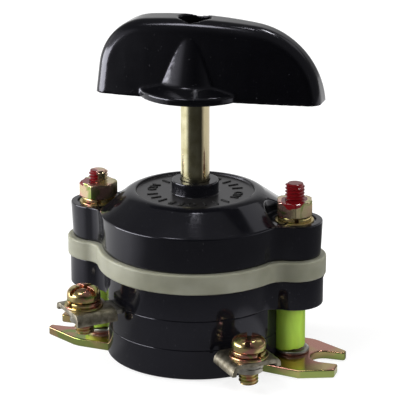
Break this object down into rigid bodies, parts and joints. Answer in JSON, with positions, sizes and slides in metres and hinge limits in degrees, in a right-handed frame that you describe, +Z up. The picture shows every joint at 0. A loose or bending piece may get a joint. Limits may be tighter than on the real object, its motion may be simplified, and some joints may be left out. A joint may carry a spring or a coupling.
{
  "type": "rotary switch",
  "caption": "Rotary packet switch with a bar handle on a long shaft, a stacked round insulating body, tie studs, forked mounting feet and screw terminals.",
  "frame": {"origin": "middle of the base strap's underside, on the shaft's axis", "axes": "+Z up along the shaft, X through the two tie studs, -Y to the front of the picture"},
  "size_m": [0.0644, 0.0512, 0.0715],
  "materials": {
    "black_phenolic": "moulded, semi-gloss",
    "pale_nylon": "moulded, satin",
    "yellow_zinc_steel": "yellow passivated zinc plate",
    "shaft_steel": "plated, bright",
    "green_pvc": "soft sleeve, satin",
    "nickel_steel": "dull nickel plate",
    "contact_brass": "stamped, bright",
    "red_fibre": "vulcanised fibre",
    "spindle_phenolic": "moulded",
    "mechanism_steel": "stamped",
    "spring_steel": "drawn wire"
  },
  "bodies": {
    "housing": {"cover": "black_phenolic", "upper_packet": "black_phenolic", "middle_packet": "black_phenolic", "lower_packet": "black_phenolic", "index_plate": "pale_nylon", "base_strap": "yellow_zinc_steel", "stud_flat_washers": "yellow_zinc_steel", "stud_spring_washers": "yellow_zinc_steel", "stud_nuts": "yellow_zinc_steel", "terminal_flat_washers": "yellow_zinc_steel", "terminal_spring_washers": "yellow_zinc_steel", "terminal_screws": "yellow_zinc_steel", "stud_left": "yellow_zinc_steel", "stud_right": "yellow_zinc_steel", "sleeve_left": "green_pvc", "sleeve_right": "green_pvc", "saddle_rear_right": "nickel_steel", "saddle_front_left": "nickel_steel", "saddle_rear_left": "nickel_steel", "saddle_front_right": "nickel_steel", "contact_strip_rear_right": "contact_brass", "contact_strip_front_left": "contact_brass", "contact_strip_rear_left": "contact_brass", "contact_strip_front_right": "contact_brass"},
    "handle": {"handle": "black_phenolic", "handle_screw": "shaft_steel", "shaft": "shaft_steel", "driver": "mechanism_steel", "torsion_spring": "spring_steel"},
    "spindle": {"slide_plate": "mechanism_steel", "contact_spindle": "spindle_phenolic", "contact_rivets": "contact_brass", "contact_leaf_upper_top": "contact_brass", "contact_leaf_upper_bottom": "contact_brass", "contact_leaf_lower_top": "contact_brass", "contact_leaf_lower_bottom": "contact_brass", "arc_disc_upper_top": "red_fibre", "arc_disc_upper_bottom": "red_fibre", "arc_disc_lower_top": "red_fibre", "arc_disc_lower_bottom": "red_fibre", "contact_spacer_upper": "red_fibre", "contact_spacer_lower": "red_fibre"}
  },
  "joints": [
    {"name": "handle_turn", "type": "hinge", "parent": "housing", "child": "handle", "pos_m": [0, 0, 0.045], "axis": [0, 0, 1], "continuous": true},
    {"name": "spindle_turn", "type": "hinge", "parent": "housing", "child": "spindle", "pos_m": [0, 0, 0.0128], "axis": [0, 0, 1], "continuous": true}
  ],
  "couplings": [
    {"joint": "spindle_turn", "follows": "handle_turn", "ratio": 1}
  ]
}
